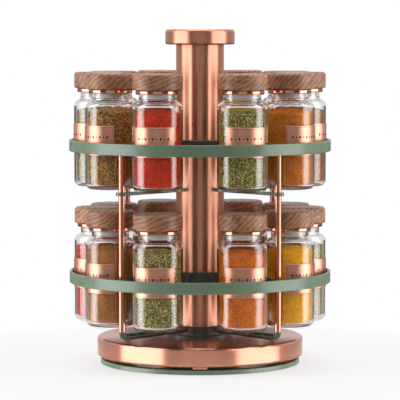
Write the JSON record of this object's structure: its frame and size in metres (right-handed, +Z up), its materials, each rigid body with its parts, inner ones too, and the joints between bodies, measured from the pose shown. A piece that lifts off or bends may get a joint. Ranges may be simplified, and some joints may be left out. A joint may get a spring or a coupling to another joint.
{
  "type": "spice carousel",
  "caption": "A free-standing revolving spice carousel: copper column on a ball-bearing turntable, sage-green guard rings on two tiers, glass jars with walnut lids",
  "frame": {"origin": "middle of the underside, on the table surface", "axes": "+Z is up along the column and the spin axis, +X to the right and +Y to the back, seen from the front"},
  "size_m": [0.24, 0.24, 0.3065],
  "materials": {
    "brushed_copper": "copper, brushed round the axis, satin",
    "bright_copper": "copper, drawn and lightly polished",
    "polished_copper": "copper, mirror polished",
    "green_coat": "fine matt sage-green powder coat",
    "walnut": "turned walnut, oiled",
    "jar_glass": "clear soda-lime glass",
    "clear_acrylic": "clear polished acrylic sheet",
    "spice": "ground and flaked spices, dry",
    "stopper": "translucent silicone",
    "bearing_steel": "plain bearing steel",
    "cage_brass": "stamped brass",
    "rubber_pad": "soft black rubber"
  },
  "bodies": {
    "base": {"foot_ring": "green_coat", "anti_slip_pads": "rubber_pad", "lower_race": "bearing_steel"},
    "ball_cage": {"ball_cage": "cage_brass", "bearing_balls": "bearing_steel"},
    "carousel": {"upper_race": "bearing_steel", "base_disc": "brushed_copper", "base_hub": "green_coat", "column": "brushed_copper", "cap": "brushed_copper", "tie_rod": "bearing_steel", "tie_nut": "bearing_steel", "lower_ring": "green_coat", "upper_ring": "green_coat", "tier_collars": "green_coat", "collar_spokes": "green_coat", "upright_rods": "bright_copper", "lower_arms": "green_coat", "upper_arms": "green_coat", "clear_shelves": "clear_acrylic"},
    "upper_jar_front_left_body": {"upper_jar_front_left": "jar_glass"},
    "upper_lid_front_left_body": {"upper_lid_front_left": "walnut"},
    "upper_jar_fore_left_body": {"upper_jar_fore_left": "jar_glass"},
    "upper_lid_fore_left_body": {"upper_lid_fore_left": "walnut"},
    "upper_jar_mid_left_body": {"upper_jar_mid_left": "jar_glass"},
    "upper_lid_mid_left_body": {"upper_lid_mid_left": "walnut"},
    "upper_jar_aft_left_body": {"upper_jar_aft_left": "jar_glass"},
    "upper_lid_aft_left_body": {"upper_lid_aft_left": "walnut"},
    "upper_jar_back_left_body": {"upper_jar_back_left": "jar_glass"},
    "upper_lid_back_left_body": {"upper_lid_back_left": "walnut"},
    "upper_jar_front_right_body": {"upper_jar_front_right": "jar_glass"},
    "upper_lid_front_right_body": {"upper_lid_front_right": "walnut"},
    "upper_jar_fore_right_body": {"upper_jar_fore_right": "jar_glass"},
    "upper_lid_fore_right_body": {"upper_lid_fore_right": "walnut"},
    "upper_jar_mid_right_body": {"upper_jar_mid_right": "jar_glass"},
    "upper_lid_mid_right_body": {"upper_lid_mid_right": "walnut"},
    "upper_jar_aft_right_body": {"upper_jar_aft_right": "jar_glass"},
    "upper_lid_aft_right_body": {"upper_lid_aft_right": "walnut"},
    "upper_jar_back_right_body": {"upper_jar_back_right": "jar_glass"},
    "upper_lid_back_right_body": {"upper_lid_back_right": "walnut"},
    "lower_jar_front_left_body": {"lower_jar_front_left": "jar_glass"},
    "lower_lid_front_left_body": {"lower_lid_front_left": "walnut"},
    "lower_jar_fore_left_body": {"lower_jar_fore_left": "jar_glass"},
    "lower_lid_fore_left_body": {"lower_lid_fore_left": "walnut"},
    "lower_jar_mid_left_body": {"lower_jar_mid_left": "jar_glass"},
    "lower_lid_mid_left_body": {"lower_lid_mid_left": "walnut"},
    "lower_jar_aft_left_body": {"lower_jar_aft_left": "jar_glass"},
    "lower_lid_aft_left_body": {"lower_lid_aft_left": "walnut"},
    "lower_jar_back_left_body": {"lower_jar_back_left": "jar_glass"},
    "lower_lid_back_left_body": {"lower_lid_back_left": "walnut"},
    "lower_jar_front_right_body": {"lower_jar_front_right": "jar_glass"},
    "lower_lid_front_right_body": {"lower_lid_front_right": "walnut"},
    "lower_jar_fore_right_body": {"lower_jar_fore_right": "jar_glass"},
    "lower_lid_fore_right_body": {"lower_lid_fore_right": "walnut"},
    "lower_jar_mid_right_body": {"lower_jar_mid_right": "jar_glass"},
    "lower_lid_mid_right_body": {"lower_lid_mid_right": "walnut"},
    "lower_jar_aft_right_body": {"lower_jar_aft_right": "jar_glass"},
    "lower_lid_aft_right_body": {"lower_lid_aft_right": "walnut"},
    "lower_jar_back_right_body": {"lower_jar_back_right": "jar_glass"},
    "lower_lid_back_right_body": {"lower_lid_back_right": "walnut"}
  },
  "joints": [
    {"name": "carousel_spin", "type": "hinge", "parent": "base", "child": "carousel", "pos_m": [0, 0, 0.00662], "axis": [0, 0, 1], "continuous": true},
    {"name": "cage_roll", "type": "hinge", "parent": "base", "child": "ball_cage", "pos_m": [0, 0, 0.00662], "axis": [0, 0, 1], "continuous": true},
    {"name": "upper_jar_front_left_lift", "type": "slide", "parent": "carousel", "child": "upper_jar_front_left_body", "axis": [0, 0, 1], "range_m": [0, 0.055]},
    {"name": "upper_lid_front_left_lift", "type": "slide", "parent": "upper_jar_front_left_body", "child": "upper_lid_front_left_body", "axis": [0, 0, 1], "range_m": [0, 0.025]},
    {"name": "upper_jar_fore_left_lift", "type": "slide", "parent": "carousel", "child": "upper_jar_fore_left_body", "axis": [0, 0, 1], "range_m": [0, 0.055]},
    {"name": "upper_lid_fore_left_lift", "type": "slide", "parent": "upper_jar_fore_left_body", "child": "upper_lid_fore_left_body", "axis": [0, 0, 1], "range_m": [0, 0.025]},
    {"name": "upper_jar_mid_left_lift", "type": "slide", "parent": "carousel", "child": "upper_jar_mid_left_body", "axis": [0, 0, 1], "range_m": [0, 0.055]},
    {"name": "upper_lid_mid_left_lift", "type": "slide", "parent": "upper_jar_mid_left_body", "child": "upper_lid_mid_left_body", "axis": [0, 0, 1], "range_m": [0, 0.025]},
    {"name": "upper_jar_aft_left_lift", "type": "slide", "parent": "carousel", "child": "upper_jar_aft_left_body", "axis": [0, 0, 1], "range_m": [0, 0.055]},
    {"name": "upper_lid_aft_left_lift", "type": "slide", "parent": "upper_jar_aft_left_body", "child": "upper_lid_aft_left_body", "axis": [0, 0, 1], "range_m": [0, 0.025]},
    {"name": "upper_jar_back_left_lift", "type": "slide", "parent": "carousel", "child": "upper_jar_back_left_body", "axis": [0, 0, 1], "range_m": [0, 0.055]},
    {"name": "upper_lid_back_left_lift", "type": "slide", "parent": "upper_jar_back_left_body", "child": "upper_lid_back_left_body", "axis": [0, 0, 1], "range_m": [0, 0.025]},
    {"name": "upper_jar_front_right_lift", "type": "slide", "parent": "carousel", "child": "upper_jar_front_right_body", "axis": [0, 0, 1], "range_m": [0, 0.055]},
    {"name": "upper_lid_front_right_lift", "type": "slide", "parent": "upper_jar_front_right_body", "child": "upper_lid_front_right_body", "axis": [0, 0, 1], "range_m": [0, 0.025]},
    {"name": "upper_jar_fore_right_lift", "type": "slide", "parent": "carousel", "child": "upper_jar_fore_right_body", "axis": [0, 0, 1], "range_m": [0, 0.055]},
    {"name": "upper_lid_fore_right_lift", "type": "slide", "parent": "upper_jar_fore_right_body", "child": "upper_lid_fore_right_body", "axis": [0, 0, 1], "range_m": [0, 0.025]},
    {"name": "upper_jar_mid_right_lift", "type": "slide", "parent": "carousel", "child": "upper_jar_mid_right_body", "axis": [0, 0, 1], "range_m": [0, 0.055]},
    {"name": "upper_lid_mid_right_lift", "type": "slide", "parent": "upper_jar_mid_right_body", "child": "upper_lid_mid_right_body", "axis": [0, 0, 1], "range_m": [0, 0.025]},
    {"name": "upper_jar_aft_right_lift", "type": "slide", "parent": "carousel", "child": "upper_jar_aft_right_body", "axis": [0, 0, 1], "range_m": [0, 0.055]},
    {"name": "upper_lid_aft_right_lift", "type": "slide", "parent": "upper_jar_aft_right_body", "child": "upper_lid_aft_right_body", "axis": [0, 0, 1], "range_m": [0, 0.025]},
    {"name": "upper_jar_back_right_lift", "type": "slide", "parent": "carousel", "child": "upper_jar_back_right_body", "axis": [0, 0, 1], "range_m": [0, 0.055]},
    {"name": "upper_lid_back_right_lift", "type": "slide", "parent": "upper_jar_back_right_body", "child": "upper_lid_back_right_body", "axis": [0, 0, 1], "range_m": [0, 0.025]},
    {"name": "lower_jar_front_left_lift", "type": "slide", "parent": "carousel", "child": "lower_jar_front_left_body", "axis": [0, 0, 1], "range_m": [0, 0.009]},
    {"name": "lower_lid_front_left_lift", "type": "slide", "parent": "lower_jar_front_left_body", "child": "lower_lid_front_left_body", "axis": [0, 0, 1], "range_m": [0, 0.005]},
    {"name": "lower_jar_fore_left_lift", "type": "slide", "parent": "carousel", "child": "lower_jar_fore_left_body", "axis": [0, 0, 1], "range_m": [0, 0.009]},
    {"name": "lower_lid_fore_left_lift", "type": "slide", "parent": "lower_jar_fore_left_body", "child": "lower_lid_fore_left_body", "axis": [0, 0, 1], "range_m": [0, 0.005]},
    {"name": "lower_jar_mid_left_lift", "type": "slide", "parent": "carousel", "child": "lower_jar_mid_left_body", "axis": [0, 0, 1], "range_m": [0, 0.009]},
    {"name": "lower_lid_mid_left_lift", "type": "slide", "parent": "lower_jar_mid_left_body", "child": "lower_lid_mid_left_body", "axis": [0, 0, 1], "range_m": [0, 0.005]},
    {"name": "lower_jar_aft_left_lift", "type": "slide", "parent": "carousel", "child": "lower_jar_aft_left_body", "axis": [0, 0, 1], "range_m": [0, 0.009]},
    {"name": "lower_lid_aft_left_lift", "type": "slide", "parent": "lower_jar_aft_left_body", "child": "lower_lid_aft_left_body", "axis": [0, 0, 1], "range_m": [0, 0.005]},
    {"name": "lower_jar_back_left_lift", "type": "slide", "parent": "carousel", "child": "lower_jar_back_left_body", "axis": [0, 0, 1], "range_m": [0, 0.009]},
    {"name": "lower_lid_back_left_lift", "type": "slide", "parent": "lower_jar_back_left_body", "child": "lower_lid_back_left_body", "axis": [0, 0, 1], "range_m": [0, 0.005]},
    {"name": "lower_jar_front_right_lift", "type": "slide", "parent": "carousel", "child": "lower_jar_front_right_body", "axis": [0, 0, 1], "range_m": [0, 0.009]},
    {"name": "lower_lid_front_right_lift", "type": "slide", "parent": "lower_jar_front_right_body", "child": "lower_lid_front_right_body", "axis": [0, 0, 1], "range_m": [0, 0.005]},
    {"name": "lower_jar_fore_right_lift", "type": "slide", "parent": "carousel", "child": "lower_jar_fore_right_body", "axis": [0, 0, 1], "range_m": [0, 0.009]},
    {"name": "lower_lid_fore_right_lift", "type": "slide", "parent": "lower_jar_fore_right_body", "child": "lower_lid_fore_right_body", "axis": [0, 0, 1], "range_m": [0, 0.005]},
    {"name": "lower_jar_mid_right_lift", "type": "slide", "parent": "carousel", "child": "lower_jar_mid_right_body", "axis": [0, 0, 1], "range_m": [0, 0.009]},
    {"name": "lower_lid_mid_right_lift", "type": "slide", "parent": "lower_jar_mid_right_body", "child": "lower_lid_mid_right_body", "axis": [0, 0, 1], "range_m": [0, 0.005]},
    {"name": "lower_jar_aft_right_lift", "type": "slide", "parent": "carousel", "child": "lower_jar_aft_right_body", "axis": [0, 0, 1], "range_m": [0, 0.009]},
    {"name": "lower_lid_aft_right_lift", "type": "slide", "parent": "lower_jar_aft_right_body", "child": "lower_lid_aft_right_body", "axis": [0, 0, 1], "range_m": [0, 0.005]},
    {"name": "lower_jar_back_right_lift", "type": "slide", "parent": "carousel", "child": "lower_jar_back_right_body", "axis": [0, 0, 1], "range_m": [0, 0.009]},
    {"name": "lower_lid_back_right_lift", "type": "slide", "parent": "lower_jar_back_right_body", "child": "lower_lid_back_right_body", "axis": [0, 0, 1], "range_m": [0, 0.005]}
  ],
  "couplings": [
    {"joint": "cage_roll", "follows": "carousel_spin", "ratio": 0.5}
  ]
}
